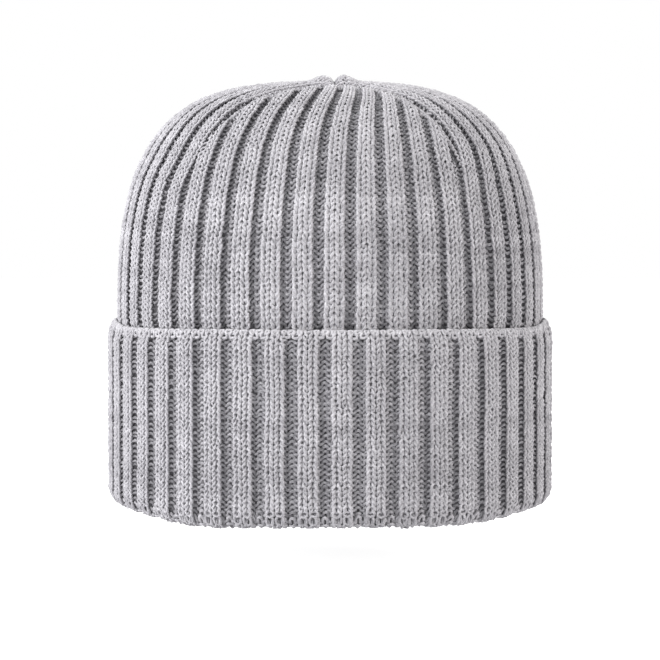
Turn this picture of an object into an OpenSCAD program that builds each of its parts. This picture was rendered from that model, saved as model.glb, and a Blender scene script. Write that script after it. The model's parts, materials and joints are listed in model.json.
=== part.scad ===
// Knitted rib beanie with a turned-up cuff, standing on its brim.
// Z is up, the front of the hat faces -Y, and the origin is the centre of the brim on the surface it stands on.
// Left and right are as seen from the front, so left is -X. All sizes are in millimetres.

/* [Hat] */
// Width across the cuff, over the ribs
cuff_d = 190; // [170:1:210]
// Height from the brim to the top of the crown
hat_h = 181; // [165:1:200]
// Depth of the turned-up cuff, from the fold to its free edge
cuff_h = 77; // [60:1:90]
// Thickness of one layer of the rib fabric
fabric_t = 3.6; // [2.6:0.1:4.4]
// Air gap between the cuff and the wall behind it
layer_gap = 0.4; // [0.3:0.1:1]

/* [Crown] */
// How square the shoulder is along the height, as a superellipse power
shoulder_up = 2.9; // [2.2:0.1:3.4]
// How square the shoulder is along the radius, as a superellipse power
shoulder_out = 3.4; // [2.4:0.1:3.8]
// Length of the seam along the top of the crown, from front to back
top_seam_l = 80; // [60:1:100]
// Radius, seen from above, at which the four darts begin
dart_start_r = 77; // [70:1:84]

/* [Seams] */
// Width of a dart or top seam
seam_w = 2.4; // [1.6:0.1:3]
// How far a dart or top seam's allowance stands inside the crown
seam_allowance = 2.4; // [1:0.1:4]
// How far a seam sits below the ribs on the outside
seam_recess = 1; // [0.5:0.1:1.6]
// Width of the flat linked seam down the back
back_seam_w = 2; // [1.4:0.1:3]

/* [Brim and edge] */
// Height of the rounded fold at the brim
fold_h = 8; // [6:0.5:12]
// How far the brim's outer corner curves in
fold_round_out = 4.4; // [3:0.1:5]
// Radius of the brim's inner corner
fold_round_in = 2.4; // [1.5:0.1:3]
// How far the fold swells inwards past the wall
fold_swell = 1.2; // [1:0.1:1.6]
// Height of the firm cast-on edge along the top of the cuff
edge_h = 4; // [2.5:0.5:6]

/* [Care label] */
// Length of the label from its sewn edge
label_l = 22; // [15:1:28]
// Height of the label along the seam
label_h = 36; // [20:1:40]
// Thickness of the folded label tape
label_t = 0.5; // [0.4:0.1:0.8]
// Height of the label's lower edge above the brim
label_z = 38; // [24:1:40]
// Angle between the label at rest and the wall's tangent
label_rest = 8; // [6:1:15]
// Number of stitches that hold the label
label_stitch_n = 9; // [5:1:14]

/* [Hidden] */

$fn = 96;
cuff_r = cuff_d / 2;
cuff_in_r = cuff_r - fabric_t;
wall_r = cuff_in_r - layer_gap;
wall_in_r = wall_r - fabric_t;
fold_in_r = wall_in_r - fold_swell;
part_gap = 0.3;                    // clearance between pieces that move apart
arc_steps = 16;                    // straight steps along the shoulder's curve
corner_steps = 6;                  // straight steps round the brim's outer corner
apex_y = top_seam_l / 2;           // each end of the top seam, where two darts meet it
corner_xy = wall_r * cos(45);      // a dart runs from the apex towards this point of the wall
dart_angle = atan2(corner_xy - apex_y, corner_xy);
dart_drop = tan(dart_angle);
dart_x = (sqrt(pow(apex_y * dart_drop, 2) - (1 + pow(dart_drop, 2)) * (pow(apex_y, 2) - pow(dart_start_r, 2)))
          - apex_y * dart_drop) / (1 + pow(dart_drop, 2));
far = 2 * cuff_d;                  // longer than anything that is cut with it
wall_base = fold_h + part_gap;
fold_land = 1;                     // straight height above the brim's outer corner
seam_end_drop = 1;                 // the cuff's back seam stops this far below its free edge
cut_over = 1;                      // how far a cutting shape reaches past what it cuts
label_stand_off = 1.6;             // from the wall to the line about which the label swings
label_hinge_y = wall_in_r - label_stand_off;
label_root = 0.4;                  // the label starts this far from its hinge line
stitch_r = 0.35;
stitch_l = 2.4;
stitch_reach = 0.5;                // how far a stitch's head stands off the wall

knit_grey = [0.66, 0.65, 0.67];
seam_grey = [0.56, 0.55, 0.58];
label_white = [0.93, 0.93, 0.92];
thread_grey = [0.75, 0.75, 0.76];

// Half the crown's outline, from the wall to the top, moved inwards by d
function crown_line(d) = [for (i = [0 : arc_steps]) let (w = 90 * i / arc_steps)
    [(wall_r - d) * pow(max(cos(w), 0), 2 / shoulder_out),
     cuff_h + (hat_h - d - cuff_h) * pow(sin(w), 2 / shoulder_up)]];

function backwards(list) = [for (i = [len(list) - 1 : -1 : 0]) list[i]];

// The crown's shell between two depths below its outer surface
module crown_shell(outer, inner) {
    rotate_extrude() polygon(concat(crown_line(outer), backwards(crown_line(inner))));
}

module ring(r_out, r_in, z_low, z_high) {
    rotate_extrude() translate([r_in, z_low]) square([r_out - r_in, z_high - z_low]);
}

// A tall wall of width w from point a to point b, seen from above
module upright_strip(a, b, w) {
    run = b - a;
    translate([a.x, a.y, -cut_over]) rotate(atan2(run.y, run.x)) translate([0, -w / 2, 0])
        cube([norm(run), w, hat_h + 2 * cut_over]);
}

// The triangle, seen from above, between the two darts at one end of the top seam
module end_wedge() {
    translate([0, 0, -cut_over]) linear_extrude(hat_h + 2 * cut_over)
        polygon([[0, -apex_y], [-far, -apex_y - far * dart_drop], [far, -apex_y - far * dart_drop]]);
}

module half_space(side) {
    translate([side > 0 ? 0 : -far, -far, -cut_over]) cube([far, 2 * far, hat_h + 2 * cut_over]);
}

module dart_strip(side, end) {
    upright_strip([0, end * apex_y], [side * dart_x, end * (apex_y + dart_x * dart_drop)], seam_w);
}

module top_strip() {
    upright_strip([0, -apex_y], [0, apex_y], seam_w);
}

module back_strip() {
    upright_strip([0, apex_y], [0, cuff_r + cut_over], back_seam_w);
}

module all_strips() {
    for (side = [-1, 1], end = [-1, 1]) dart_strip(side, end);
    top_strip();
    back_strip();
}

module end_gore(end) {
    difference() {
        intersection() {
            crown_shell(0, fabric_t);
            mirror([0, end > 0 ? 1 : 0, 0]) end_wedge();
        }
        all_strips();
    }
}

module front_gore() {
    color(knit_grey) end_gore(-1);
}

module back_half_gore(side) {
    color(knit_grey) intersection() {
        end_gore(1);
        half_space(side);
    }
}

module side_gore(side) {
    color(knit_grey) difference() {
        intersection() {
            crown_shell(0, fabric_t);
            half_space(side);
        }
        end_wedge();
        mirror([0, 1, 0]) end_wedge();
        all_strips();
    }
}

module dart_seam(side, end) {
    color(seam_grey) difference() {
        intersection() {
            crown_shell(seam_recess, fabric_t + seam_allowance);
            dart_strip(side, end);
        }
        top_strip();
        back_strip();
        if (side > 0) dart_strip(-side, end);
    }
}

module top_seam() {
    color(seam_grey) intersection() {
        crown_shell(seam_recess, fabric_t + seam_allowance);
        top_strip();
    }
}

module back_seam() {
    color(seam_grey) {
        difference() {
            intersection() {
                crown_shell(seam_recess, fabric_t);
                back_strip();
            }
            top_strip();
        }
        intersection() {
            ring(wall_r - seam_recess, wall_in_r, wall_base, cuff_h);
            back_strip();
        }
    }
}

module side_wall() {
    color(knit_grey) difference() {
        ring(wall_r, wall_in_r, wall_base, cuff_h);
        back_strip();
    }
}

// The fold where the wall turns up into the cuff; the hat stands on its flat underside
module brim_fold() {
    color(knit_grey) rotate_extrude() polygon(concat(
        [[fold_in_r, fold_h]],
        [for (i = [0 : corner_steps]) let (w = 90 * i / corner_steps)
            [fold_in_r + fold_round_in * (1 - cos(w)), fold_round_in * (1 - sin(w))]],
        [for (i = [0 : corner_steps]) let (w = 90 * i / corner_steps)
            [cuff_r - fold_round_out * (1 - sin(w)), (fold_h - fold_land) * (1 - cos(w))]],
        [[cuff_r, fold_h]]));
}

module cuff() {
    color(knit_grey) difference() {
        ring(cuff_r, cuff_in_r, fold_h, cuff_h - edge_h);
        back_strip();
    }
}

module cuff_edge() {
    color(knit_grey) difference() {
        rotate_extrude() polygon(concat(
            [[cuff_r, cuff_h - edge_h]],
            [for (i = [0 : corner_steps]) let (w = 180 * i / corner_steps)
                [cuff_in_r + fabric_t / 2 * (1 + cos(w)), cuff_h - fabric_t / 2 * (1 - sin(w))]],
            [[cuff_in_r, cuff_h - edge_h]]));
        back_strip();
    }
}

module cuff_back_seam() {
    color(seam_grey) intersection() {
        ring(cuff_r - seam_recess, cuff_in_r, fold_h, cuff_h - seam_end_drop);
        back_strip();
    }
}

module care_label() {
    color(label_white) translate([0, label_hinge_y, label_z]) rotate(-label_rest)
        translate([label_root, -label_t / 2, 0]) cube([label_l, label_t, label_h]);
}

// Short upright stitches on the flat seam beside the label's sewn edge
module label_stitches() {
    pitch = label_h / label_stitch_n;
    color(thread_grey) for (i = [0 : label_stitch_n - 1])
        translate([0, wall_in_r, label_z + pitch * (i + 0.5) - stitch_l / 2]) {
            intersection() {
                cylinder(h = stitch_l, r = stitch_r + stitch_reach / 2, $fn = 24);
                translate([-stitch_r, -stitch_reach, 0]) cube([2 * stitch_r, stitch_reach, stitch_l]);
            }
        }
}

front_gore();
side_gore(-1);  // left_gore
side_gore(1);  // right_gore
back_half_gore(-1);  // back_left_gore
back_half_gore(1);  // back_right_gore
dart_seam(-1, -1);  // front_left_dart_seam
dart_seam(1, -1);  // front_right_dart_seam
dart_seam(-1, 1);  // back_left_dart_seam
dart_seam(1, 1);  // back_right_dart_seam
top_seam();
back_seam();
side_wall();
brim_fold();
cuff();
cuff_edge();
cuff_back_seam();
care_label();
label_stitches();
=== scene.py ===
# Knitted rib beanie: the looks, built round the imported CAD frame.
# The fabric is real yarn: every stitch is a loop of a tube that runs along its course, over a thin cloth
# whose dark colour is painted shade, for the shadow in the gaps between strands.
# Lengths here are in millimetres; a mesh is made in metres. Azimuth 0 is the front (-Y), 90 degrees is +X.
# Places on the fabric are given as w, counted in wales round the hat, and v, counted in courses from the
# cuff's free edge down the cuff, round the fold, up the wall and over the crown.
import json
import math

import bpy
import numpy as np
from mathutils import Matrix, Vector


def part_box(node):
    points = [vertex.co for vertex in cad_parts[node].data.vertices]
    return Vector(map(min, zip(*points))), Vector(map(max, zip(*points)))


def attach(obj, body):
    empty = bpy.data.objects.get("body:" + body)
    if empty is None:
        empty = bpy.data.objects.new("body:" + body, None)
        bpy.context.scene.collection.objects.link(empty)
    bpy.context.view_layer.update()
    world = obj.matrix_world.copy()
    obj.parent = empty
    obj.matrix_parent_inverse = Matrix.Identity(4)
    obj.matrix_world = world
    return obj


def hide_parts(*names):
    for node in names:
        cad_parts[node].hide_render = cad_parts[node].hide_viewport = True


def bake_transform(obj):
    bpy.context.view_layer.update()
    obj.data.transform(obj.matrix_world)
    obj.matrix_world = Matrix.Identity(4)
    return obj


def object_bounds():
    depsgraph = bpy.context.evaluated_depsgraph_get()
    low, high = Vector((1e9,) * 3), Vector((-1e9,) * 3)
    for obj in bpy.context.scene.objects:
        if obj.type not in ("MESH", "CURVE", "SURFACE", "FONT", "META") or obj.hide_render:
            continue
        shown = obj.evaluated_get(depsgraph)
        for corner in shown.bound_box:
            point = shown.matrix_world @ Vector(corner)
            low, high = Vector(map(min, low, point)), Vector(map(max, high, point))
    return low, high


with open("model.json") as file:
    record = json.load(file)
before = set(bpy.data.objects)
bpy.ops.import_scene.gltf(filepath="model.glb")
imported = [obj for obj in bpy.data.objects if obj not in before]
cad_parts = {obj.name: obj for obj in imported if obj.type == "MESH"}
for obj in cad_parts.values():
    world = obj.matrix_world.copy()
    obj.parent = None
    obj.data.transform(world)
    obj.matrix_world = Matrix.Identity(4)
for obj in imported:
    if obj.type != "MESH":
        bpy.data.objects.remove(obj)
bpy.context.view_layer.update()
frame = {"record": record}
rng = np.random.default_rng(20)
TO_MM = 1000.0


def cad(node):
    """Lowest and highest corner of a CAD node, in millimetres."""
    lo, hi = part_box(node)
    return np.array(lo) * TO_MM, np.array(hi) * TO_MM


# ---------------------------------------------------------------- sizes
WALL_R = cad("side_wall")[1][0]
CUFF_R = cad("cuff")[1][0]
CUFF_TOP = cad("cuff_edge")[1][2]
HAT_TOP = max(cad(n)[1][2] for n in ("front_gore", "left_gore", "right_gore"))
APEX_Y = -cad("top_seam")[0][1]         # half the length of the seam along the top
SHOULDER_OUT, SHOULDER_UP = 3.4, 2.9    # the crown's superellipse powers
CORNER = WALL_R * math.cos(math.pi / 4)  # a dart runs from the top seam's end towards this X and Y
DART_SLOPE = (CORNER - APEX_Y) / CORNER
DART_BOW, DART_X = 2.6, 52.0            # how far a dart's line bows, over this much of X
DART_R = 76.0                           # radius at which the darts have reached their straight line
DART_TIP_R = 84.5                       # radius at which they begin
DART_END = 54                           # the X where their seams end
DART_SINK, DART_W = 0.5, 1.5            # along a dart the fabric is drawn in: how deep, and how wide
PUFF_H, PUFF_AT, PUFF_W = 0.7, 5.5, 3.2  # a side gore swells beside the dart: how high, how far off, how wide
BUMP_H, BUMP_X = 2.5, 4.2               # and beside the top seam: how high, and how far off
TOP_SINK, TOP_SINK_W = 1.3, 1.3         # along the top seam it is drawn in: how deep, and how wide
BACK_SINK, BACK_SINK_W = 0.7, 1.8       # the same along the back seam

DEPTH = 1.6                             # how far ribs and valleys stand from the middle of the fabric
LOOP_D = 0.55                           # how far a loop's legs and heads stand apart, to each side
YARN_FLAT, YARN_WIDE = 0.52, 0.64       # the yarn's radii, across and along the fabric
PROUD = 0.5                             # how far the soft ribs stand out of the CAD's surface
MID = DEPTH + LOOP_D + YARN_FLAT - PROUD  # from the middle of the fabric to the CAD's surface
TIP = 0.12                              # a yarn's end is drawn in to this share of its thickness
SHADE_CLOTH_IN = 0.15                          # how far the thin cloth lies inside the middle of the yarn
WALL_MID = WALL_R - MID
WALL_IN = 1.2                           # the wall is pressed in this much behind the cuff
LABEL_ROOM = 0.30                       # but less at the back, over about this angle, for the label to swing
WALL_DEPTH = 0.75                       # how far the wall's ribs stand behind the cuff
CUFF_MID = CUFF_R - MID
FOLD_R = (CUFF_MID - WALL_MID + WALL_IN) / 2
FOLD_DEPTH = 0.12 * DEPTH               # the ribs are stretched flat round the fold
FOLD_DROP = DEPTH - FOLD_DEPTH
FOLD_Z = FOLD_R + MID
FOLD_COURSES = 4                        # the brim's piece begins this many courses before the fold ends
ROLL_IN = 1.9                           # how far the cuff's free edge rolls in
BRIM_SAG, SIDE_LIFT = 1.5, 2.4          # how far the brim sags, and how far it and the rim lift at the sides

WALES = 176                             # 44 ribs of 2 knit and 2 purl wales
WALE_DEG = 360 / WALES
BACK = 87                               # the wale at the back seam; the other edge is BACK - WALES
CROWN_AZ, CUFF_AZ = 1.13, -1.2          # where wale 1 lies on the crown and on the cuff, in degrees
BACK_OVER = 75                          # over these degrees behind the sides, they close up on the back seam
WALE_HUNG = 3.16                        # a wale's width below which its yarn is squeezed thinner
CUFF_STEP, CROWN_STEP = 2.05, 2.25      # a course's height
WALL_COURSES = 32                       # from the fold to the cuff's top
EDGE_Z = CUFF_TOP - 1.0                 # the cuff's first course; the edge's cord stands a little higher
CUFF_RUN = EDGE_Z - FOLD_Z
FOLD_RUN = math.pi * FOLD_R
TURN_COURSES = round((CUFF_RUN + FOLD_RUN) / CUFF_STEP)
TURN_STEP = (CUFF_RUN + FOLD_RUN) / TURN_COURSES
WALL_STEP = (CUFF_TOP - FOLD_Z) / WALL_COURSES
CROWN_V = TURN_COURSES + WALL_COURSES   # the course at which the crown begins
FRONT_L, FRONT_R, BACK_R, BACK_L = -21, 19, 67, -69   # the wales at which the darts start
LOOP_STEPS = 10                         # points along each stitch
UNFOLD = 1.35                           # how much wider the ribbed fabric is with its ribs pulled out flat
LOOP_RISE, LOOP_POINT = 0.90, 0.11      # half a loop's height in courses, and how pointed it is
RIB_LEAN, VALLEY_LEAN = 0.24, 0.12      # how far, in wales, its legs lean
FOOT_BEHIND = 0.45                      # how much further behind its foot lies, and how much less its head
ROUND_OFF = 0.10                        # how much each rib and valley is rounded off to its sides
EDGE_LEVEL, DART_LEVEL = 0.9, 0.75      # where, of DEPTH, the fabric lies at the cuff's edge and at a dart
FIRST_V = -0.55                         # no loop reaches past the cast-on edge
RIB_SPREAD = 0.38                       # how much wider than its share a crown rib's pair of wales lies
CUFF_SPREAD = 0.30                      # the same for a rib of the cuff
VALLEY_SPREAD = 0.16                    # and for the pair of wales in a valley
CLOSE = 0.065                           # how far, in wales, the legs beside a rib's middle close up on it
WANDER = 0.16                           # how far, in wales, the wales wander
JITTER_W, JITTER_V, JITTER_OUT = 0.05, 0.09, 0.10  # how uneven loops are: in wales, in courses and outward
THICKNESS_JITTER = 0.06                 # and the yarn's thickness, as a share of it
VALLEY_YARN = 0.12                      # how much wider the yarn looks where the purl loops lie flat


def smooth(t):
    """An even step from 0 to 1 as t goes from 0 to 1."""
    t = np.clip(t, 0, 1)
    return t * t * (3 - 2 * t)


def lerp(a, b, t):
    """The value the share t of the way from a to b."""
    return a + (b - a) * t


def hill(distance, width):
    """1 at no distance, and falling away over the width."""
    return np.exp(-((distance / width) ** 2))


def scaled(amount, direction):
    """Each point's direction, times its own amount."""
    return amount[..., None] * direction


# ---------------------------------------------------------------- where a wale lies
def wale_az(w, turned):
    """Azimuth of wale w; turned is 0 at the crown and 1 at the cuff, whose ribs lie a little to one side.

    Round the back the wales close up, so that the fabric's two edges meet at the back seam.
    """
    first = lerp(CROWN_AZ, CUFF_AZ, turned)
    az = first + (np.asarray(w, float) - 1) * WALE_DEG
    back_shift = 180 - (first + (BACK - 1) * WALE_DEG)
    return az + back_shift * smooth((np.abs(az) - 90) / BACK_OVER)


# ---------------------------------------------------------------- the crown's middle surface
BELOW = 13                              # the crown's surface is carried on down the wall this far
PRESS_FROM, PRESS_OVER = 3, 9           # the wall comes out this far below the cuff's top, over this height
FRONT_LEAN = 5.5                        # degrees that the front gore leans to the right at its top
LEAN_REACH, LEAN_POWER = 0.49, 1.3      # the share of the radius over which it leans, and how late it starts
FAN = 0.8                               # how much the ribs of an end gore fan out towards its top
TOP_SHIFT, TOP_SHIFT_W = 2.0, 30        # the top seam's front end lies this far to the right, over this width


def pressed(z):
    """Behind the cuff the wall is pressed in: 0 there, 1 where the crown is free."""
    return smooth((z - CUFF_TOP + PRESS_FROM) / PRESS_OVER)


def crown_profile():
    """The middle surface's run, radius, height and normal, from a little below the shoulder to the top."""
    t = np.linspace(0, math.pi / 2, 8001)
    r = WALL_R * np.cos(t) ** (2 / SHOULDER_OUT)
    r[-1] = 0
    h = HAT_TOP - CUFF_TOP
    u = np.sin(t) ** (2 / SHOULDER_UP)
    nr = SHOULDER_OUT / WALL_R * (r / WALL_R) ** (SHOULDER_OUT - 1)
    nz = SHOULDER_UP / h * u ** (SHOULDER_UP - 1)
    k = np.hypot(nr, nz)
    nr, nz = nr / k, nz / k
    r, z = r - MID * nr, CUFF_TOP + h * u - MID * nz
    r = np.concatenate([np.full(BELOW, r[0]), r])
    z = np.concatenate([z[0] - np.arange(BELOW)[::-1] - 1, z])
    nr, nz = np.concatenate([np.ones(BELOW), nr]), np.concatenate([np.zeros(BELOW), nz])
    s = np.concatenate([[0], np.cumsum(np.hypot(np.diff(r), np.diff(z)))]) - BELOW
    r = r - WALL_IN * (1 - pressed(z))
    return s, r, z, nr, nz


PROFILE = crown_profile()


def profile_at(s):
    """Radius, height and normal of the crown's middle surface at the run s."""
    return [np.interp(s, PROFILE[0], c) for c in PROFILE[1:]]


def dart_y(x):
    """How far from the middle, along Y, a dart's line is at x: it is stretched, and bows towards the top."""
    x = np.abs(x)
    return APEX_Y + DART_SLOPE * x - DART_BOW * np.sin(math.pi * np.minimum(x, DART_X) / DART_X)


def dart_az(r):
    """Azimuth, from the front or back, of the dart's line at radius r."""
    x = np.linspace(0, 75, 751)
    return np.interp(r, np.hypot(x, dart_y(x)), np.degrees(np.arctan2(x, dart_y(x))))


def end_centre(end, r):
    """Azimuth of the middle of the front (-1) or back (1) gore at radius r."""
    if end > 0:
        return 180.0 + 0 * r
    q = np.clip(1 - r / WALL_MID, 0, 1)
    return wale_az(-1, 0) + FRONT_LEAN * (q / LEAN_REACH) ** LEAN_POWER


def end_az(end, w, r):
    """Azimuth of an end gore's wale w at radius r."""
    first = wale_az(-1, 0) if end < 0 else 180.0
    here = wale_az(w, 0)
    if end > 0:
        here = np.where(here < 0, here + 360, here)
    q = np.clip(1 - r / WALL_MID, 0, 1)
    return end_centre(end, r) + (here - first) * (1 + FAN * q * q)


def edge_az(w_edge, r):
    """Azimuth of the line between two gores, at the dart whose first wale is w_edge."""
    end = 1 if abs(w_edge) > 44 else -1
    natural = end_az(end, w_edge, np.maximum(r, DART_R))
    side = 1 if w_edge > 0 else -1
    off = side * dart_az(np.minimum(r, DART_R))
    line = off if end < 0 else 180 - off
    return lerp(natural, line, smooth((DART_TIP_R - r) / (DART_TIP_R - DART_R)))


def shift_top(x, y):
    """The top seam lies a little to the right at its front end."""
    r = np.hypot(x, y)
    away = TOP_SHIFT * np.clip((APEX_Y - y) / (2 * APEX_Y), 0, 1.2)
    return x + away * hill(x, TOP_SHIFT_W) * smooth((78 - r) / TOP_SHIFT_W)


def from_dart(x, y):
    """How far a point of the plan is from the nearest dart's line."""
    return np.abs(np.abs(y) - dart_y(x)) / math.hypot(1, DART_SLOPE)


def relief(x, y, side_gore):
    """How far the fabric stands out or is drawn in beside the crown's seams."""
    e, d = from_dart(x, y), np.abs(x)
    beside = smooth((DART_END - d) / 12)
    out = -DART_SINK * hill(e, DART_W) * beside
    if side_gore:
        near_top = smooth((APEX_Y + 0.5 - np.abs(y)) / 6)
        out += PUFF_H * hill(e - PUFF_AT, PUFF_W) * beside
        out += near_top * (BUMP_H * hill(d - BUMP_X, BUMP_X) - TOP_SINK * hill(d, TOP_SINK_W))
    else:
        out -= BACK_SINK * smooth(y / 20) * hill(x, BACK_SINK_W)
    return out


def near_dart(p, side_gore):
    """How near a point is to a dart: there the two cut edges are drawn together and the ribs lie level."""
    x, y = np.abs(p[..., 0]), np.abs(p[..., 1])
    e = from_dart(x, y)
    close = hill(e, DART_W) * smooth((DART_END - 2 - x) / 10)
    if not side_gore:
        return close
    at_top = hill(x, 4.5) * smooth((APEX_Y + 4 - y) / 6)
    drawn = 0.85 * hill(e, 7.5) * smooth((40 - x) / 14)
    return np.maximum(np.maximum(close, at_top), drawn)


class EndGore:
    """The front (end -1) or back (1) gore: its wales run over the shoulder, and are cut off at the darts."""

    def __init__(self, end):
        self.end = end
        self.w0, self.w1 = (FRONT_L, FRONT_R) if end < 0 else (BACK_R, BACK_L + WALES)
        self.edges = (FRONT_L, FRONT_R) if end < 0 else (BACK_R, BACK_L)
        self.courses = int(math.ceil(np.interp(-APEX_Y, -PROFILE[1], PROFILE[0]) / CROWN_STEP))

    def at(self, w, v):
        """The middle surface's points and normals."""
        r, z, nr, nz = profile_at((v - CROWN_V) * CROWN_STEP)
        w = np.where(w > BACK, w - WALES, w)
        az = np.radians(end_az(self.end, w, r))
        x, y = r * np.sin(az), -r * np.cos(az)
        n = np.stack([nr * np.sin(az), -nr * np.cos(az), nz], -1)
        out = relief(x, y, False)
        return np.stack([shift_top(x, y), y, z], -1) + scaled(out, n), n

    def inside(self, w, v, margin):
        """Whether a point lies between the two darts, and at least the margin away from them."""
        r = profile_at((v - CROWN_V) * CROWN_STEP)[0]
        w = np.where(w > BACK, w - WALES, w)
        az = end_az(self.end, w, r)
        lo, hi = edge_az(self.edges[0], r), edge_az(self.edges[1], r)
        slack = np.degrees(margin / np.maximum(r, 1))
        return (az > lo + slack) & (az < hi - slack) & (r > APEX_Y + margin)


class SideGore:
    """The left (side -1) or right (1) gore: its wales run up, side by side, to the seam along the top."""

    FINE = 4                            # grid lines to each wale and to each course
    FROM = -12                          # the run at which the grid begins, below the shoulder
    V_FROM = -5                         # and its first course
    TOP_R, TOP_OVER = 84, 30            # in from this radius, over this much, the wales turn side by side

    def __init__(self, side):
        self.w0, self.w1 = (FRONT_R, BACK_R) if side > 0 else (BACK_L, FRONT_L)
        front, back = (FRONT_R, BACK_R) if side > 0 else (FRONT_L, BACK_L)
        self.w = np.linspace(self.w0, self.w1, (self.w1 - self.w0) * self.FINE + 1)
        start, stop = wale_az(front, 0), wale_az(back, 0)
        share = (wale_az(self.w, 0) - start) / (stop - start)
        top = PROFILE[0][-1]
        r, z, nr, nz = profile_at(np.concatenate([np.arange(self.FROM, top, 0.1), [top]]))
        az_f, az_b = edge_az(front, r), edge_az(back, r)
        if side < 0:
            az_b = np.where(az_b > 0, az_b - 360, az_b)
        y_f = np.where(r > APEX_Y, -r * np.cos(np.radians(az_f)), -APEX_Y)
        y_b = np.where(r > APEX_Y, -r * np.cos(np.radians(az_b)), APEX_Y)
        straight = smooth((self.TOP_R - r) / self.TOP_OVER)
        lines = []
        for k in share:
            by_az = -r * np.cos(np.radians(lerp(az_f, az_b, k)))
            y = lerp(by_az, lerp(y_f, y_b, k), straight)
            lines.append(self.wale_line(r * r - y * y, y, z, nr, nz))
        mean = np.array([run[-1] for run, _ in lines]).mean()
        self.courses = round(float(mean) / CROWN_STEP)
        self.v = np.linspace(self.V_FROM, self.courses, (self.courses - self.V_FROM) * self.FINE + 1)
        self.grid = np.stack([self.grid_line(run, pts, side) for run, pts in lines])

    def wale_line(self, x2, y, z, nr, nz):
        """One wale's line up to the top seam, where its X, of which x2 is the square, comes to nothing."""
        ok = x2 > 0
        count = len(ok) if ok.all() else int(np.argmin(ok))
        x = np.sqrt(np.maximum(x2[:count], 0))
        pts = np.stack([x, y[:count], z[:count], nr[:count], nz[:count]], -1)
        last = pts[-1].copy()
        last[0] = 0
        pts = np.vstack([pts, last])
        steps = np.linalg.norm(np.diff(pts[:, :3], axis=0), axis=1)
        return np.concatenate([[0], np.cumsum(steps)]) + self.FROM, pts

    def grid_line(self, run, pts, side):
        """A wale's points and normals at the grid's courses."""
        full = run[-1]
        v_of = run / CROWN_STEP + (self.courses - full / CROWN_STEP) * np.clip(run / full, 0, 1) ** 2
        p = np.stack([np.interp(self.v, v_of, pts[:, c]) for c in range(5)], -1)
        x, y = p[:, 0] * side, p[:, 1]
        r = np.maximum(np.hypot(x, y), 1e-6)
        n = np.stack([p[:, 3] * x / r, p[:, 3] * y / r, p[:, 4]], -1)
        n /= np.linalg.norm(n, axis=1)[:, None]
        out = relief(x, y, True)
        return np.concatenate([np.stack([shift_top(x, y), y, p[:, 2]], -1) + scaled(out, n), n], -1)

    def at(self, w, v):
        """The middle surface's points and normals."""
        i = np.clip((w - self.w0) / (self.w[1] - self.w[0]), 0, len(self.w) - 1.001)
        j = np.clip((v - CROWN_V - self.v[0]) / (self.v[1] - self.v[0]), 0, len(self.v) - 1.001)
        i0, j0 = i.astype(int), j.astype(int)
        fi, fj = (i - i0)[..., None], (j - j0)[..., None]
        g = self.grid
        low = lerp(g[i0, j0], g[i0 + 1, j0], fi)
        high = lerp(g[i0, j0 + 1], g[i0 + 1, j0 + 1], fi)
        p = lerp(low, high, fj)
        return p[..., :3], p[..., 3:] / np.linalg.norm(p[..., 3:], axis=-1)[..., None]


def from_ends(az):
    """How far round from the front or the back an azimuth in radians is, in degrees."""
    return np.degrees(np.abs(np.arcsin(np.clip(np.sin(az), -1, 1))))


def brim_lift(az):
    """The brim isn't level: it lifts at the sides, and sags to the left and right of the front and back."""
    az = np.arctan2(np.sin(az), np.cos(az))
    a = from_ends(az)
    sag = BRIM_SAG * hill(a - 36, 17) * np.where(az < 0, 1, 0.55)
    return 0.2 + SIDE_LIFT * smooth((a - 30) / 50) - sag * np.where(np.cos(az) > 0, 1, 0.6)


def rim_lift(az):
    """The cuff's free edge stands a little higher at the front, and higher still at the far sides."""
    a = from_ends(az)
    return 1.3 - 0.8 * smooth((a - 20) / 45) + SIDE_LIFT * smooth((a - 66) / 22)


class Tube:
    """The cuff, the fold and the wall: one fabric, from the cuff's free edge down and round to the crown."""

    SWING_END = 16                      # this far below the cuff's top, the wall's ribs meet the crown's line
    LABEL_OUT = 0.75                    # the share of WALL_IN that the wall keeps where the label swings
    LABEL_FROM = 12                     # and the height over which that begins
    ROLL_FROM, ROLL_OVER = 9, 10        # where the cuff's free edge rolls in
    RIM_REACH, BRIM_REACH = 40, 45      # how far down and up the cuff the rim's and the brim's lift reach

    def at(self, w, v):
        """The middle surface's points and normals; the normals point out of the wall and into the cuff."""
        on_wall = CUFF_RUN + FOLD_RUN + (v - TURN_COURSES) * WALL_STEP
        s = np.where(v < TURN_COURSES, v * TURN_STEP, on_wall)
        around = np.clip((s - CUFF_RUN) / FOLD_R, 0, math.pi)
        up = np.maximum(s - CUFF_RUN - FOLD_RUN, 0)
        down = np.maximum(CUFF_RUN - s, 0)
        z = FOLD_Z - (FOLD_R + FOLD_DROP) * np.sin(around) + up + down
        turned = 1 - smooth(up / (CUFF_TOP - self.SWING_END))
        az = np.radians(wale_az(w, turned))
        at_label = hill(math.pi - np.abs(az), LABEL_ROOM) * smooth(up / self.LABEL_FROM) * (1 - pressed(z))
        r = CUFF_MID - FOLD_R + FOLD_R * np.cos(around)
        r = r + np.where(up > 0, WALL_IN * (pressed(z) + self.LABEL_OUT * at_label), 0)
        r = r - np.where(down > 0, ROLL_IN * smooth((z - CUFF_TOP + self.ROLL_FROM) / self.ROLL_OVER) ** 2, 0)
        z = z + np.where(down > 0, rim_lift(az) * smooth((z - CUFF_TOP + self.RIM_REACH) / self.RIM_REACH), 0)
        z = z + brim_lift(az) * np.clip(1 - z / self.BRIM_REACH, 0, 1) ** 2
        n = np.stack([-np.cos(around) * np.sin(az), np.cos(around) * np.cos(az), np.sin(around)], -1)
        return np.stack([r * np.sin(az), -r * np.cos(az), z], -1), n


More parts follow.
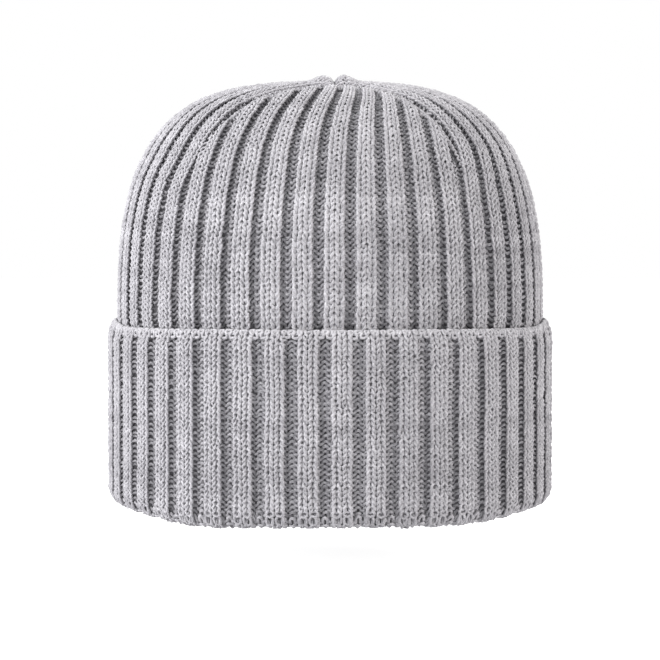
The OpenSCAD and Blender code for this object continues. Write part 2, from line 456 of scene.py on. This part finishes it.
# ---------------------------------------------------------------- the stitch
# the wander, as waves: how fast each turns by wale and by course, its phase and its height
WAVES = [(rng.uniform(0.05, 0.5), rng.uniform(-0.35, 0.35), rng.uniform(0, 6.28), rng.uniform(0.4, 1))
         for _ in range(9)]
RIB_WAVE, CLOTH_WAVE = 6.0, 4.0         # how steeply the yarn and the cloth turn from rib to valley


def drift(w, v):
    """A slow wander of the wales from side to side."""
    return sum(a * np.sin(p * w + q * v + f) for p, q, f, a in WAVES) / len(WAVES)


def wave(a, steep=RIB_WAVE):
    """Where the fabric lies across its thickness: 1 in a rib's two wales, -1 in a valley's."""
    return np.tanh(steep * np.sin(math.pi * a / 2)) / math.tanh(steep)


def spread(a, w, side):
    """How far, in wales, a point moves sideways: each pair is wider than its share, and laps the next."""
    proud, low = (RIB_SPREAD, VALLEY_SPREAD) if side > 0 else (VALLEY_SPREAD, CUFF_SPREAD)
    rib = (1 + wave(a)) / 2
    from_rib = (w - 1) - 4 * np.round((a - 1) / 4)
    from_valley = (w - 3) - 4 * np.round((a - 3) / 4)
    return proud * rib * from_rib + low * (1 - rib) * from_valley


def course(surface, c, w0, w1, steps=LOOP_STEPS, depth=DEPTH, side=1.0, flat_for=None):
    """One course of yarn from wale w0 to w1: its points, normals, radii across and along, and their w and v.

    side is 1 where the surface's normals point away from the hat and -1 where, as on the cuff, into it.
    flat_for, from 0 to 1, is how far a course near the cast-on edge has turned from flat fabric into ribs.
    """
    a = w0 + np.arange(int(round((w1 - w0) * steps)) + 1) / steps
    t = (a % 1) * 2 * math.pi
    level = wave(a)
    rib = (1 + side * level) / 2
    lean = lerp(VALLEY_LEAN, RIB_LEAN, rib if flat_for is None else lerp(1.0, rib, flat_for))
    k = np.clip(np.floor(a).astype(int) - int(w0), 0, int(math.ceil(w1 - w0)))
    jitter = rng.normal(0, 1, (4, int(math.ceil(w1 - w0)) + 2))
    f = smooth(a - np.floor(a))
    jit = [lerp(j[k], j[k + 1], f) for j in jitter]
    w = a + lean * np.sin(2 * t) - CLOSE * rib * np.sin(math.pi * (a - 1)) * np.abs(np.sin(t))
    knit = np.clip(1.6 * np.sin(math.pi * a / 2), -1, 1)
    level = level * (1 - ROUND_OFF * (w - 1 - 2 * np.round((a - 1) / 2)) ** 2)
    if flat_for is not None:
        knit = lerp(side * np.ones_like(knit), knit, flat_for)
        level = lerp(side * EDGE_LEVEL, level, flat_for)
    rise = LOOP_RISE * np.cos(t) + LOOP_POINT * rib * np.cos(3 * t)
    v = c - rise * (1 + 0.07 * jit[0]) + JITTER_V * jit[1]
    v = np.maximum(v, FIRST_V)
    moved = w + spread(a, w, side) + WANDER * drift(w, v) + JITTER_W * jit[2]
    p, n = surface.at(np.clip(moved, w0 - 0.02, w1 + 0.02), v)
    if c >= CROWN_V:
        level = lerp(level, DART_LEVEL, near_dart(p, isinstance(surface, SideGore)))
    behind = np.where(np.cos(2 * t) > 0, 1 + FOOT_BEHIND * np.cos(t), 1)
    off = depth * level - knit * LOOP_D * np.cos(2 * t) * behind + JITTER_OUT * jit[3]
    p = p + scaled(off, n)
    middle, _ = surface.at((w0 + w1) / 2 + np.array([-2.0, 2.0]), np.full(2, float(c)))
    squeeze = min(1.0, float(np.linalg.norm(middle[1] - middle[0])) / 4 / WALE_HUNG)
    rb = YARN_WIDE * squeeze**0.6 * (1 + THICKNESS_JITTER * jit[0]) * (1 + VALLEY_YARN * (1 - rib))
    rn = YARN_FLAT * (1 + THICKNESS_JITTER * jit[2])
    return p, n, rb * np.ones(len(a)), rn * np.ones(len(a)), a, v


class Yarns:
    """Collects tubes and makes one mesh of them."""

    def __init__(self):
        self.verts, self.faces, self.tones, self.count = [], [], [], 0

    def add(self, p, n, rb, rn, sides=5, tone=0.0):
        """Adds one tube; tone is its shade, lighter above 0."""
        if len(p) < 3:
            return
        t = np.gradient(p, axis=0)
        t /= np.maximum(np.linalg.norm(t, axis=1), 1e-9)[:, None]
        b = np.cross(t, n)
        b /= np.maximum(np.linalg.norm(b, axis=1), 1e-9)[:, None]
        m = np.cross(b, t)
        ang = np.arange(sides) * 2 * math.pi / sides + 0.3
        closed = np.ones(len(p))
        closed[[0, -1]] = TIP
        ring = (p[:, None] + (rb * closed)[:, None, None] * np.cos(ang)[None, :, None] * b[:, None]
                + (rn * closed)[:, None, None] * np.sin(ang)[None, :, None] * m[:, None])
        i = np.arange(len(p) - 1)[:, None] * sides
        j = np.arange(sides)[None, :]
        k = (j + 1) % sides
        quads = np.stack([i + j, i + k, i + sides + k, i + sides + j], -1).reshape(-1, 4)
        self.faces.append(quads + self.count)
        self.verts.append(ring.reshape(-1, 3))
        self.tones.append(np.repeat(tone * np.ones(len(p)), sides))
        self.count += len(p) * sides

    def mesh(self, name):
        return make_mesh(name, np.vstack(self.verts), np.vstack(self.faces), np.concatenate(self.tones))


def make_mesh(name, verts, quads, tones):
    """A mesh object of quads, with each point's shade in the attribute that the materials read."""
    me = bpy.data.meshes.new(name)
    me.vertices.add(len(verts))
    me.vertices.foreach_set("co", (verts / TO_MM).astype(np.float32).ravel())
    me.loops.add(len(quads) * 4)
    me.loops.foreach_set("vertex_index", quads.astype(np.int32).ravel())
    me.polygons.add(len(quads))
    me.polygons.foreach_set("loop_start", np.arange(0, len(quads) * 4, 4, dtype=np.int32))
    me.polygons.foreach_set("use_smooth", np.ones(len(quads), bool))
    me.update(calc_edges=True)
    me.validate()
    me.attributes.new("tone", "FLOAT", "POINT").data.foreach_set("value", tones.astype(np.float32))
    o = bpy.data.objects.new(name, me)
    bpy.context.scene.collection.objects.link(o)
    return o


def grid_mesh(name, points):
    """An open sheet through a grid of points."""
    a, b = points.shape[:2]
    i, j = np.meshgrid(np.arange(a - 1), np.arange(b - 1), indexing="ij")
    q = np.stack([i * b + j, (i + 1) * b + j, (i + 1) * b + j + 1, i * b + j + 1], -1).reshape(-1, 4)
    return make_mesh(name, points.reshape(-1, 3), q, np.zeros(a * b))


# ---------------------------------------------------------------- materials
class Nodes:
    """The node tree of a material or a world."""

    def __init__(self, owner):
        owner.use_nodes = True
        self.nodes = owner.node_tree.nodes
        self.links = owner.node_tree.links

    def fill(self, node, inputs):
        """Links each input to the socket given for it, or sets it to the value given."""
        for key, value in inputs.items():
            if isinstance(value, bpy.types.NodeSocket):
                self.links.new(value, node.inputs[key])
            else:
                node.inputs[key].default_value = value
        return node

    def new(self, kind, inputs=None):
        return self.fill(self.nodes.new("ShaderNode" + kind), inputs or {})

    def noise(self, scale, detail=2, rough=0.5):
        where = self.new("TexCoord").outputs["Object"]
        return self.new("TexNoise", {"Scale": scale, "Detail": detail, "Roughness": rough,
                                     "Vector": where}).outputs["Fac"]

    def times_plus(self, value, factor, more):
        node = self.new("Math", {0: value, 1: factor, 2: more})
        node.operation = "MULTIPLY_ADD"
        return node.outputs[0]

    def ramp(self, value, low, high, start=0.0, stop=1.0):
        """A colour between low and high."""
        node = self.new("ValToRGB", {"Fac": value})
        for element, position, colour in zip(node.color_ramp.elements, (start, stop), (low, high)):
            element.position = position
            element.color = (*colour, 1)
        return node.outputs["Color"]

    def between(self, value, low, high):
        """A number between low and high."""
        return self.new("MapRange", {"Value": value, "To Min": low, "To Max": high}).outputs["Result"]

    def bump(self, height, strength, distance):
        node = self.new("Bump", {"Height": height, "Strength": strength, "Distance": distance})
        return node.outputs["Normal"]

    def camera_sees(self, first, second, output):
        """Shows the second shader to the camera, and the first to everything else."""
        mix = self.new("MixShader", {"Fac": self.new("LightPath").outputs["Is Camera Ray"],
                                     1: first.outputs[0], 2: second.outputs[0]})
        self.links.new(mix.outputs[0], self.nodes[output].inputs["Surface"])


def wool(name, low, high, bump=0.5):
    """Heathered yarn: fibres, flecks and slow clouds of shade, plus the shade that the mesh carries."""
    m = bpy.data.materials.new(name)
    g = Nodes(m)
    flecks, fibre, clouds = g.noise(520, 3, 0.6), g.noise(2300, 2, 0.7), g.noise(38, 2, 0.6)
    tone = g.new("Attribute")
    tone.attribute_name = "tone"
    shade = g.times_plus(flecks, 0.45, -0.08)
    shade = g.times_plus(fibre, 0.55, shade)
    shade = g.times_plus(tone.outputs["Fac"], 0.10, shade)
    shade = g.times_plus(clouds, 0.16, shade)
    g.fill(g.nodes["Principled BSDF"], {
        "Base Color": g.ramp(shade, low, high, 0.34, 0.66),
        "Roughness": g.between(fibre, 0.78, 0.98),
        "Normal": g.bump(fibre, bump, 0.0005),
        "Specular IOR Level": 0.15,
        "Sheen Weight": 0.25,
        "Sheen Roughness": 0.6,
    })
    return m


YARN = wool("rib_yarn", (0.29, 0.282, 0.301), (0.57, 0.56, 0.585))
SEAM_YARN = wool("seam_yarn", (0.29, 0.282, 0.302), (0.53, 0.52, 0.545))
# the thin cloth is coloured dark: painted shade, standing in for the shadow seen through the gaps between
# strands
SHADE_CLOTH = wool("painted_shade_cloth", (0.11, 0.107, 0.115), (0.19, 0.186, 0.197), bump=0.3)


def dress(o, material):
    """Gives an object its one material."""
    o.data.materials.append(material)
    return o


def hold(o, bodies):
    """Rides one body, or, for the wall behind the cuff, stays fixed where it is, with no body."""
    if bodies == "wall":
        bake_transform(o)
    else:
        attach(o, bodies)


# ---------------------------------------------------------------- fabric pieces
LEFT, MIDDLE, RIGHT = -45, -1, 43       # the wales where its pieces meet at the left, front and right
CLOTH_FINE, CLOTH_ROWS = 3, 0.75        # cloth points to each wale, and rows of them to each course
CLOTH_SHORT = 0.2                       # how many courses before its yarn a cloth ends
YARN_PAST, CLOTH_PAST = 0.8, 0.6        # how far an end gore's yarn and cloth reach past its darts' lines
CLOTH_LEVEL = 0.7                       # where, of DEPTH, the cloth lies at a dart
COURSE_TONE = 0.25                      # how much lighter or darker one course of yarn is than the next


def draw_to_darts(surface, w, ww, vv):
    """Draws an end gore's grid of wales, ww, in to lie between its darts."""
    ok = surface.inside(ww, vv, -CLOTH_PAST)
    middle = (surface.w0 + surface.w1) / 2
    for j in range(ww.shape[1]):
        good = np.nonzero(ok[:, j])[0]
        lo, hi = (w[good[0]], w[good[-1]]) if len(good) else (middle, middle + 0.01)
        ww[:, j] = np.clip(w, lo, hi)


def ring_fabric(first, last, bodies, node, steps, sides, side, depth_of, flat_of=None):
    """The tube's courses from first up to last, in four quarters, each with its thin cloth of painted shade.
    """
    surface = Tube()
    cuts = [BACK - WALES, LEFT, MIDDLE, RIGHT, BACK]
    names = ["back_left", "front_left", "front_right", "back_right"]
    yarns = [Yarns() for _ in names]
    for c in range(first, last):
        flat = None if flat_of is None else flat_of(c)
        p, n, rb, rn, a, v = course(surface, c, cuts[0], cuts[-1], steps, depth_of(c), side, flat)
        tone = rng.normal(0, 1) * COURSE_TONE + drift(a * 3, v * 3)
        for q in range(4):
            i = slice((cuts[q] - cuts[0]) * steps, (cuts[q + 1] - cuts[0]) * steps + 1)
            yarns[q].add(p[i], n[i], rb[i], rn[i], sides, tone[i])
    made = []
    for q, label in enumerate(names):
        o = dress(yarns[q].mesh(f"{node}_{label}_yarn"), YARN)
        w = np.linspace(cuts[q], cuts[q + 1], (cuts[q + 1] - cuts[q]) * CLOTH_FINE + 1)
        v = np.linspace(first - 0.4, last - CLOTH_SHORT, max(3, int((last - first) * CLOTH_ROWS) + 1))
        vv, ww = np.meshgrid(v, w)
        depth = np.vectorize(depth_of)(vv)
        ribbed = 1.0 if flat_of is None else np.vectorize(flat_of)(vv)
        pts, n = surface.at(ww, vv)
        out = depth * lerp(EDGE_LEVEL * side, wave(ww, CLOTH_WAVE), ribbed) - SHADE_CLOTH_IN * side
        cloth = dress(grid_mesh(f"{node}_{label}_cloth", pts + scaled(out, n)), SHADE_CLOTH)
        made.append((o, cloth))
    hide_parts(node)
    flat = (UNFOLD * 2 * math.pi * WALL_R / 4 / TO_MM, (last - first) * CUFF_STEP / TO_MM)
    for o, cloth in made:
        hold(o, bodies)
        hold(cloth, bodies)


def gore_fabric(surface, parts, nodes, side_gore):
    """A gore's courses; parts are (name, first wale, last wale), and each gets its thin cloth of painted
    shade.
    """
    yarns = {name: Yarns() for name, _, _ in parts}
    for c in range(CROWN_V, CROWN_V + surface.courses):
        p, n, rb, rn, a, v = course(surface, c, surface.w0, surface.w1)
        tone = rng.normal(0, 1) * COURSE_TONE + drift(a * 3, v * 3)
        at_c = np.full(len(a), float(c))
        keep = np.ones(len(a), bool) if side_gore else surface.inside(a, at_c, -YARN_PAST)
        for name, first, last in parts:
            mine = keep & (a >= first - 1e-6) & (a <= last + 1e-6)
            if mine.sum() > 4:
                i = np.nonzero(mine)[0]
                i = slice(i[0], i[-1] + 1)
                yarns[name].add(p[i], n[i], rb[i], rn[i], 5, tone[i])
    for name, first, last in parts:
        o = dress(yarns[name].mesh(name + "_yarn"), YARN)
        w = np.linspace(first, last, (last - first) * CLOTH_FINE + 1)
        stop = CROWN_V + surface.courses - CLOTH_SHORT
        v = np.linspace(CROWN_V - 1.0, stop, int(surface.courses * CLOTH_ROWS))
        vv, ww = np.meshgrid(v, w)
        if not side_gore:
            draw_to_darts(surface, w, ww, vv)
        pts, n = surface.at(ww, vv)
        out = DEPTH * lerp(wave(ww, CLOTH_WAVE), CLOTH_LEVEL, near_dart(pts, side_gore)) - SHADE_CLOTH_IN
        pts = pts + scaled(out, n)
        cloth = dress(grid_mesh(name + "_cloth", pts), SHADE_CLOTH)
        hold(o, "crown")
        hold(cloth, "crown")
    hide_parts(*nodes)


def fold_depth(c):
    """The ribs stay deep down the cuff, and lie flat where the fabric turns under."""
    return lerp(FOLD_DEPTH, DEPTH, smooth((TURN_COURSES - 2.4 - c) / 3.0))


def edge_flat(c):
    """How far course c has turned from the flat cast-on edge into ribs."""
    return float(smooth((c + 0.5) / 1.9))


def wall_depth(c):
    """The ribs of the wall are pressed flatter behind the cuff."""
    return lerp(WALL_DEPTH, DEPTH, float(smooth((c - CROWN_V + 4) / 5)))


FOLD_FROM, FOLD_TO = TURN_COURSES - FOLD_COURSES, TURN_COURSES + 1
ring_fabric(0, FOLD_FROM, "cuff", "cuff", LOOP_STEPS, 5, -1.0, lambda c: DEPTH, edge_flat)
ring_fabric(FOLD_FROM, FOLD_TO, "cuff", "brim_fold", LOOP_STEPS, 5, -1.0, fold_depth)
ring_fabric(FOLD_TO, CROWN_V, "wall", "side_wall", 8, 4, 1.0, wall_depth)

gore_fabric(EndGore(-1), [("front_gore", FRONT_L, FRONT_R)], ["front_gore"], False)
gore_fabric(EndGore(1), [("back_right_gore", BACK_R, BACK), ("back_left_gore", BACK, BACK_L + WALES)],
            ["back_left_gore", "back_right_gore"], False)
gore_fabric(SideGore(1), [("right_gore_front", FRONT_R, RIGHT), ("right_gore_back", RIGHT, BACK_R)],
            ["right_gore"], True)
gore_fabric(SideGore(-1), [("left_gore_back", BACK_L, LEFT), ("left_gore_front", LEFT, FRONT_L)],
            ["left_gore"], True)


# ---------------------------------------------------------------- seams and edge
SEAM_PITCH = 2.3                        # from one seam stitch to the next
SEAM_WIDE, SEAM_FLAT = 0.52, 0.42       # the seam yarn's radii
ZIG_W, ZIG_H = 0.75, 0.25               # how far its zigzag goes, across and up
CORE_WIDE, CORE_FLAT = 0.9, 0.8         # the radii of the bound edge inside
COIL_W, COIL_H = 1.25, 1.05             # and of the coil of yarn round it
CORE_UP, CORE_HANG = 0.2, 0.7           # its ends lie in the fabric, and it hangs further in between them
DART_OUT = 0.6                          # how far the darts' and the top's zigzag stands out
CORD_WIDE, CORD_FLAT = 0.56, 0.52       # the radii of each strand of the cuff's edge
CORD_OUT = DEPTH * 0.9 - 0.75           # and how far their middle stands out


def dome(x, y):
    """The crown's middle surface above a point of the plan: the point and the normal."""
    r = np.hypot(x, y)
    _, z, nr, nz = profile_at(np.interp(-r, -PROFILE[1], PROFILE[0]))
    k = np.maximum(r, 1e-6)
    n = np.stack([nr * x / k, nr * y / k, nz], -1)
    return np.stack([shift_top(x, y), y, z], -1), n


def along(p, n, step):
    """Resamples a path and its normals at an even step, and gives the sideways direction and the run."""
    run = np.concatenate([[0], np.cumsum(np.linalg.norm(np.diff(p, axis=0), axis=1))])
    u = np.arange(0, run[-1], step)
    p = np.stack([np.interp(u, run, p[:, c]) for c in range(3)], -1)
    n = np.stack([np.interp(u, run, n[:, c]) for c in range(3)], -1)
    n /= np.linalg.norm(n, axis=1)[:, None]
    t = np.gradient(p, axis=0)
    b = np.cross(t, n)
    b /= np.linalg.norm(b, axis=1)[:, None]
    return p, n, b, u


def seam(name, p, n, nodes, bodies, outside, bound):
    """A linked seam: a zigzag of yarn at the height outside and, if bound, the fabric's bound edge inside."""
    y = Yarns()
    p, n, b, u = along(p, n, SEAM_PITCH / 8)
    turn = 2 * math.pi * u / SEAM_PITCH
    zig = p + scaled(ZIG_W * np.sin(turn), b) + scaled(outside + ZIG_H * np.cos(2 * turn), n)
    y.add(zig, n, SEAM_WIDE, SEAM_FLAT, 5, 0.15 * np.sin(u))
    if bound:
        fade = smooth(np.minimum(u, u[-1] - u) / 3)
        core = p - scaled(MID - CORE_UP + CORE_HANG * fade, n)
        y.add(core, n, CORE_WIDE, CORE_FLAT, 8, -0.3)
        for lag in (0, math.pi):
            across, up = COIL_W * np.cos(turn + lag), COIL_H * np.sin(turn + lag) * fade
            y.add(core + scaled(across, b) + scaled(up, n), n, 0.5, SEAM_FLAT, 5, 0.2 * np.cos(u))
    o = dress(y.mesh(name), SEAM_YARN)
    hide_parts(*nodes)
    hold(o, bodies)


def dart_line(side, end):
    """A dart's line on the crown; side is -1 or 1 along X, end along Y."""
    t = np.linspace(0, 1, 200)
    x = side * DART_END * t
    return dome(x, end * dart_y(x))


def back_line(surface, first, last, count):
    """The back seam's line up a surface, with its normals and its courses."""
    v = np.linspace(first, last, count)
    return *surface.at(np.full(count, float(BACK)), v), v


for end, where_y in ((-1, "front"), (1, "back")):
    for side, where_x in ((-1, "left"), (1, "right")):
        p, n = dart_line(side, end)
        name = f"{where_y}_{where_x}_dart_seam"
        seam(name + "_yarn", p, n, [name], "crown", DART_OUT, True)
p, n = dome(np.full(200, 1e-3), np.linspace(-APEX_Y - 1, APEX_Y + 1, 200))
seam("top_seam_yarn", p, n, ["top_seam"], "crown", DART_OUT, True)

back, tube = EndGore(1), Tube()
p, n, v = back_line(back, CROWN_V, CROWN_V + back.courses - 0.5, 300)
seam("back_seam_crown_yarn", p, n, ["back_seam"], "crown", -DEPTH + 0.9, False)
p, n, v = back_line(tube, FOLD_TO, CROWN_V, 200)
seam("back_seam_wall_yarn", p, n, [], "wall", -WALL_DEPTH - 0.5, False)
p, n, v = back_line(tube, 0, FOLD_TO - 0.5, 300)
seam("cuff_back_seam_yarn", p - scaled(fold_depth(v), n), n, ["cuff_back_seam"], "cuff", -0.35, False)


def edge_cord():
    """The firm edge that the knitting starts from: two strands that twist round each other."""
    y = Yarns()
    w = np.linspace(BACK - WALES, BACK, WALES * 6 + 1)
    p, n = tube.at(w, np.full(len(w), 0.0))
    p[:, 2] += 0.30 + 0.25 * np.sin(math.pi * (w - 2) / 2) + 0.2 * drift(w * 2, w)
    for lag in (0, math.pi):
        turn = math.pi * w + lag
        q = p - scaled(CORD_OUT + 0.40 * np.cos(turn), n)
        q[:, 2] += 0.42 * np.sin(turn)
        y.add(q, n, CORD_WIDE, CORD_FLAT, 6, 0.3 * np.sin(w * 1.7))
    o = dress(y.mesh("cuff_edge_cord"), YARN)
    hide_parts("cuff_edge")
    hold(o, "cuff")


edge_cord()


# ---------------------------------------------------------------- care label
LABEL_GAP = 0.22                        # half the gap between the folded tape's two layers
LABEL_SLOPE = math.tan(math.radians(8))  # it hangs a little away from the wall
LABEL_STITCHES, STITCH_R = 9, 0.3       # its stitches, and their thread's radius


def satin():
    """Blank woven tape."""
    m = bpy.data.materials.new("label_satin")
    g = Nodes(m)
    clouds = g.noise(120)
    warp = g.new("TexWave", {"Scale": 900, "Distortion": 0.6, "Vector": g.new("TexCoord").outputs["Object"]})
    warp.bands_direction = "Z"
    g.fill(g.nodes["Principled BSDF"], {
        "Base Color": g.ramp(clouds, (0.66, 0.66, 0.64), (0.86, 0.86, 0.84)),
        "Roughness": g.between(clouds, 0.32, 0.5),
        "Normal": g.bump(warp.outputs["Fac"], 0.4, 0.0001),
        "Sheen Weight": 0.2,
    })
    return m


def label_tape():
    """A strip of satin tape folded in two, both ends at the back seam."""
    lo, hi = cad("care_label")
    long = hi[0] - lo[0]
    leg = np.linspace(0, 1, 15)
    bend = np.linspace(-math.pi / 2, math.pi / 2, 9)[1:-1]
    straight = leg * (long - LABEL_GAP)
    x = np.concatenate([straight, long - LABEL_GAP + LABEL_GAP * np.cos(bend), straight[::-1]])
    across = np.concatenate([np.full(15, -LABEL_GAP), LABEL_GAP * np.sin(bend), np.full(15, LABEL_GAP)])
    across *= np.clip(x / 4, 0.25, 1)
    z = np.linspace(lo[2], hi[2], 19)
    zz, xx = np.meshgrid(z, x)
    aa = np.repeat(across[:, None], len(z), 1)
    height = (zz - lo[2]) / (hi[2] - lo[2]) - 0.5
    loose = (xx / long) ** 2
    curl = loose * (0.35 * np.sin(5 * height + 0.5) - 0.9 * (1 - 1.6 * height**2))
    pts = np.stack([lo[0] + xx, hi[1] - 0.25 - xx * LABEL_SLOPE + aa + curl, zz], -1)
    return grid_mesh("care_label_tape", pts), (2 * long / TO_MM, (hi[2] - lo[2]) / TO_MM)


def label_thread():
    """The stitches that hold the label's two ends to the back seam."""
    lo, hi = cad("care_label")
    outside = cad("label_stitches")[1][1]
    pitch = (hi[2] - lo[2]) / LABEL_STITCHES
    u = np.linspace(0, math.pi, 9)
    y = Yarns()
    for i in range(LABEL_STITCHES):
        z = lo[2] + pitch * (i + 0.5) - 1.3 * np.cos(u)
        p = np.stack([0.25 * np.cos(u) + 0.3, outside - 0.2 - 1.5 * np.sin(u), z], -1)
        y.add(p, np.tile([1.0, 0, 0], (len(u), 1)), STITCH_R, STITCH_R, 6)
    return y.mesh("label_stitches_thread")


def care_label():
    """The label and its stitches."""
    tape, flat = label_tape()
    dress(tape, satin())
    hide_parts("care_label")
    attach(tape, "label")
    thread = dress(label_thread(), SEAM_YARN)
    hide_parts("label_stitches")
    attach(thread, "crown")


care_label()


# ---------------------------------------------------------------- the stage
WHITE = (1, 1, 1, 1)
FLOOR_HALF = 6.0                        # metres, like all of the stage
FLOOR_CLEAR = 0.0005                    # how far the floor lies below the cuff when it is slid right down
COOL, NEUTRAL, WARM = (0.985, 0.985, 1.0), (1, 1, 1), (1, 0.975, 0.955)
LENS_MM, SENSOR_MM = 144.82, 36         # the camera's lens
TILT = math.radians(2.243)              # how far it looks down


def add_object(name, data):
    o = bpy.data.objects.new(name, data)
    bpy.context.scene.collection.objects.link(o)
    return o


def make_floor():
    """White paper: it shows white to the camera, and gives less light back."""
    floor = bpy.data.meshes.new("floor")
    k = FLOOR_HALF
    floor.from_pydata([(-k, -k, 0), (k, -k, 0), (k, k, 0), (-k, k, 0)], [], [(0, 1, 2, 3)])
    o = add_object("floor", floor)
    slides = [j["range_m"][0] for j in frame["record"]["behaviour"]["joints"] if "range_m" in j]
    o.location.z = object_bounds()[0][2] + min(slides) - FLOOR_CLEAR
    m = bpy.data.materials.new("floor_paper")
    g = Nodes(m)
    paper = g.fill(g.nodes["Principled BSDF"], {
        "Base Color": (0.9, 0.9, 0.9, 1),
        "Roughness": 0.9,
        "Specular IOR Level": 0.1,
        "Emission Color": WHITE,
        "Emission Strength": 0.85,
    })
    dull = g.new("BsdfDiffuse", {"Color": (0.7, 0.7, 0.71, 1)})
    g.camera_sees(dull, paper, "Material Output")
    floor.materials.append(m)


def make_world():
    """A white room that gives only a little light."""
    world = bpy.data.worlds.new("studio")
    bpy.context.scene.world = world
    g = Nodes(world)
    soft = g.fill(g.nodes["Background"], {"Color": WHITE, "Strength": 0.2})
    seen = g.new("Background", {"Color": WHITE, "Strength": 1.0})
    g.camera_sees(soft, seen, "World Output")


def make_light(name, place, aim, size, power, colour):
    """A round area light, turned towards the height aim above the middle."""
    light = bpy.data.lights.new(name, "AREA")
    light.shape = "DISK"
    light.size = size
    light.energy = power
    light.color = colour
    o = add_object(name, light)
    o.location = place
    o.rotation_euler = (Vector((0, 0, aim)) - Vector(place)).to_track_quat("-Z", "Y").to_euler()


def make_camera():
    cam = bpy.data.cameras.new("camera")
    o = add_object("camera", cam)
    cam.sensor_width = SENSOR_MM
    cam.lens = LENS_MM
    cam.clip_start = 0.05
    cam.clip_end = 30
    o.location = (0, -1.14, 0.12)
    o.rotation_euler = (math.pi / 2 - TILT, 0, 0)
    bpy.context.scene.camera = o


make_floor()
make_world()
make_light("key", (-1.35, -1.4, 1.0), 0.09, 0.6, 22, COOL)
make_light("side", (-1.9, -0.5, 0.55), 0.09, 0.8, 32, COOL)
make_light("top", (-0.2, -0.3, 1.9), 0.12, 0.7, 19, NEUTRAL)
make_light("fill", (1.6, -1.0, 0.5), 0.08, 0.9, 23, WARM)
make_light("behind", (0.9, 1.7, 1.1), 0.09, 1.0, 36, NEUTRAL)
make_camera()
bpy.context.scene.view_settings.view_transform = "Standard"
